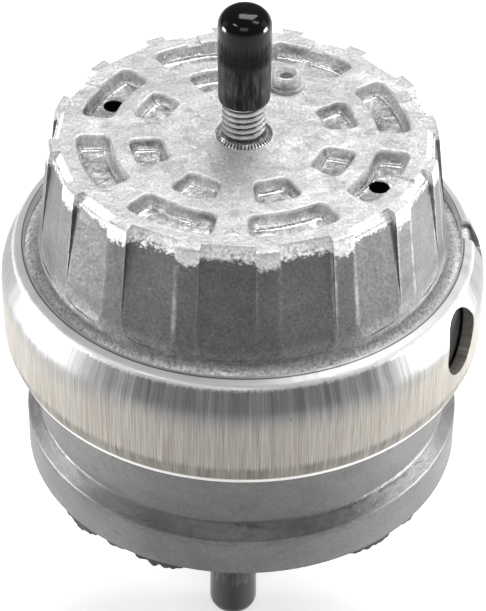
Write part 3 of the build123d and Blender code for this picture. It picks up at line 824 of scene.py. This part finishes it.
def capProfile(look):
    rim, level = look["rimRadius"], look["rimLevel"]
    # bore from its closed end down, then the rolled rim
    profile = [(0.5, look["ceiling"]), (look["boreRadius"], look["ceiling"]), (look["boreRadius"], level)]
    profile += [(rim - 0.5, level), (rim - 0.12, level + 0.2), (rim, level + 0.7)]
    profile.append((rim + 0.02, look["ribLow"]))
    for ring in range(1, look["gripRings"] + 1):
        share = ring / look["gripRings"]
        height = look["ribLow"] + (look["ribHigh"] - look["ribLow"]) * share
        profile.append((rim + 0.02 + look["gripTaper"] * share, height))
    # plain side, then the domed end
    shoulder = look["top"] - look["domeRadius"]
    flat = look["radius"] - look["domeRadius"]
    profile.append((look["radius"], shoulder - 2.5))
    for ring in range(look["domeRings"]):
        turn = math.radians(90 * ring / look["domeRings"])
        rise = look["domeRadius"] * math.sin(turn) * look["domeFlattening"]
        profile.append((flat + look["domeRadius"] * math.cos(turn), shoulder + rise))
    return profile + [(flat * 0.75, look["top"] - 0.07), (flat * 0.3, look["top"])]


def studCap(name, look):
    sides = look["ribs"] * look["sidesPerRib"]
    cap = turnedPiece(name, capProfile(look), sides)
    tidyMesh(cap)

    def inFlute(centre):
        away = math.hypot(centre.x, centre.y) / millimetre
        column = int((math.degrees(math.atan2(centre.y, centre.x)) % 360) / 360 * sides)
        onGrip = away > look["ribInner"] and look["ribLow"] < centre.z / millimetre < look["ribHigh"]
        return onGrip and column % look["sidesPerRib"] == 0
    # shallow flutes round the lower half, where it is gripped
    makeActive(cap)
    bpy.ops.object.mode_set(mode="EDIT")
    bpy.ops.mesh.select_mode(type="FACE")
    pickFaces(cap, inFlute)
    shrink = 1 - look["ribDepth"]
    bpy.ops.transform.resize(value=(shrink, shrink, 1), center_override=(0, 0, 0))
    bpy.ops.object.mode_set(mode="OBJECT")
    smoothPiece(cap, 40)
    return cap


upperCap = studCap("upperCap", capLook)
dress(upperCap, capPlastic("upper cap plastic", capLook["upperGrip"], capLook["tone"], capLook))
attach(upperCap, "housing")
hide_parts("upper_stud_cap")
lowerCap = studCap("lowerCap", capLook)
standBelow(lowerCap, studPlace["lowerSeat"], studPlace["lowerOffset"])
dress(lowerCap, capPlastic("lower cap plastic", capLook["lowerGrip"], capLook["lowerTone"], capLook))
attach(lowerCap, "core")
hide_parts("lower_stud_cap")
print("caps on")


# Rubber spring cut into wedges round the axis

springLook = {"wedges": 12, "outer": 41.5, "inner": 24.0}


def springWedge(index, look):
    wedge = bpy.data.objects.new("springWedge%d" % index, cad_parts["main_spring"].data.copy())
    bpy.context.scene.collection.objects.link(wedge)
    half = math.pi / look["wedges"]
    middle = 2 * half * index
    makeActive(wedge)
    bpy.ops.object.mode_set(mode="EDIT")
    bpy.ops.mesh.select_all(action="SELECT")
    bpy.ops.mesh.remove_doubles(threshold=weldDistance)
    for side in (-1, 1):
        edge = middle + side * half
        bpy.ops.mesh.select_all(action="SELECT")
        bpy.ops.mesh.bisect(
            plane_co=(0, 0, 0), plane_no=(-side * math.sin(edge), side * math.cos(edge), 0),
            use_fill=True, clear_outer=True)
    bpy.ops.object.mode_set(mode="OBJECT")
    tidyMesh(wedge)
    smoothPiece(wedge, 30)
    dress(wedge, finishes["main_spring"])
    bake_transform(wedge)
    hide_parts("main_spring")


for index in range(springLook["wedges"]):
    springWedge(index, springLook)
print("spring cut into wedges")


# Rubber flash along the cup's lower edge

flashLook = {
    "radius": 52.15, "level": -88.6, "thickness": 0.5, "overlap": 0.35, "cutsPerDegree": 1.6, "leastCuts": 6,
    # from degrees, to degrees, hang in millimetres, measured right of the front
    "strips": [(-53, -40, 2.9), (-28.5, -14.5, 2.2), (29.5, 43.0, 2.2), (-37.5, -31.0, 1.3), (47, 53, 1.4)],
}


def flashStrip(index, start, end, hang, look):
    cuts = max(look["leastCuts"], int((end - start) * look["cutsPerDegree"]))
    bpy.ops.mesh.primitive_grid_add(x_subdivisions=cuts, y_subdivisions=3, size=1)
    strip = startPiece("rubberFlash%d" % index)
    for vertex in strip.data.vertices:
        along, down = vertex.co.x + 0.5, 0.5 - vertex.co.y
        angle = math.radians(start + (end - start) * along - 90)
        taper = math.sin(math.pi * min(1, max(0, along))) ** 0.5
        ragged = random.uniform(0.45, 1.0) * hang * taper
        out = look["radius"] + down * random.uniform(-0.1, 0.5)
        height = look["level"] + look["overlap"] - down * (look["overlap"] + ragged)
        vertex.co = (
            out * math.cos(angle) * millimetre, out * math.sin(angle) * millimetre, height * millimetre)
    thick = strip.modifiers.new("thickness", "SOLIDIFY")
    thick.thickness = look["thickness"] * millimetre
    thick.offset = 0
    soft = strip.modifiers.new("soft", "SUBSURF")
    soft.levels = 1
    soft.render_levels = 1
    applyAll(strip)
    tidyMesh(strip)
    smoothPiece(strip, 50)
    dress(strip, finishes["main_spring"])
    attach(strip, "housing")


for index, (start, end, hang) in enumerate(flashLook["strips"]):
    flashStrip(index, start, end, hang, flashLook)
print("rubber flash added")


# Pale floor, which shines for the camera and in reflections only

floorLook = {"size": 8.0, "tone": 0.86, "mottle": 0.99, "roughness": 0.9, "gap": 0.0004, "shine": 0.45}


def paleFloor(look):
    material, tree, shader = newMaterial("pale floor")
    mottle = noise(tree, place(tree), 12, 3)
    colour = blendColours(tree, mottle, grey(look["tone"] * look["mottle"]), grey(look["tone"]))
    wire(tree, shader, colour, look["roughness"])
    rays = addNode(tree, "ShaderNodeLightPath").outputs
    seen = calc(tree, "MAXIMUM", rays["Is Camera Ray"], rays["Is Glossy Ray"])
    seen = calc(tree, "MAXIMUM", seen, rays["Is Transmission Ray"])
    tree.links.new(product(tree, seen, look["shine"]), shader.inputs["Emission Strength"])
    shader.inputs["Emission Color"].default_value = white
    # from below the floor is clear
    facing = addNode(tree, "ShaderNodeNewGeometry").outputs["Backfacing"]
    clear = addNode(tree, "ShaderNodeBsdfTransparent")
    either = addNode(tree, "ShaderNodeMixShader", {0: facing, 1: shader.outputs[0], 2: clear.outputs[0]})
    tree.links.new(either.outputs[0], tree.nodes["Material Output"].inputs["Surface"])
    return material


bpy.ops.mesh.primitive_plane_add(size=floorLook["size"], location=(0, 0, cadBox[0][2] - floorLook["gap"]))
floor = startPiece("floor")
dress(floor, paleFloor(floorLook))


# World and lamps

studioLook = {
    "worldStrength": 0.17, "target": (0, 0, -0.045),
    # place, size, watts
    "lamps": {
        "overhead": ((0.10, 0.34, 0.75), (0.5, 0.4), 5.0),
        "left": ((-0.75, 0.10, 0.12), (0.35, 0.6), 0.4),
        "right": ((0.75, 0.12, 0.14), (0.35, 0.6), 0.5),
        "lowLeft": ((-0.70, 0.02, -0.115), (0.25, 0.25), 8.0),
        "lowRight": ((0.70, 0.02, -0.115), (0.25, 0.25), 10.4),
        "upperRight": ((0.42, -0.05, 0.62), (0.16, 0.30), 0.8),
        "upperLeft": ((-0.40, -0.25, 0.55), (0.20, 0.08), 0.7),
        "front": ((-0.05, -0.72, 0.56), (0.5, 0.3), 1.3),
    },
}
world = bpy.data.worlds.new("studio")
bpy.context.scene.world = world
world.use_nodes = True
background = world.node_tree.nodes["Background"]
background.inputs["Color"].default_value = white
background.inputs["Strength"].default_value = studioLook["worldStrength"]
for lampName, (spot, size, watts) in studioLook["lamps"].items():
    data = bpy.data.lights.new(lampName, "AREA")
    data.shape = "RECTANGLE"
    data.size, data.size_y = size
    data.energy = watts
    lamp = bpy.data.objects.new(lampName, data)
    bpy.context.scene.collection.objects.link(lamp)
    lamp.location = spot
    lamp.rotation_euler = (Vector(studioLook["target"]) - Vector(spot)).to_track_quat("-Z", "Y").to_euler()


# Camera, where the photograph was taken from

cameraLook = {
    "lens": 154.59, "sensor": 36, "clipStart": 0.01,
    "target": (0.00016, 0, -0.0508), "distance": 0.630, "elevation": 39.36, "roll": 0.53,
}
cameraData = bpy.data.cameras.new("camera")
cameraData.lens = cameraLook["lens"]
cameraData.sensor_width = cameraLook["sensor"]
cameraData.clip_start = cameraLook["clipStart"]
camera = bpy.data.objects.new("camera", cameraData)
bpy.context.scene.collection.objects.link(camera)
tilt = Euler((math.radians(90 - cameraLook["elevation"]), 0, 0)).to_matrix()
turn = tilt @ Matrix.Rotation(math.radians(cameraLook["roll"]), 3, "Z")
camera.rotation_euler = turn.to_euler()
camera.location = Vector(cameraLook["target"]) + turn @ Vector((0, 0, cameraLook["distance"]))
bpy.context.scene.camera = camera
bpy.context.scene.view_settings.view_transform = "Standard"
print("floor, light and camera set")
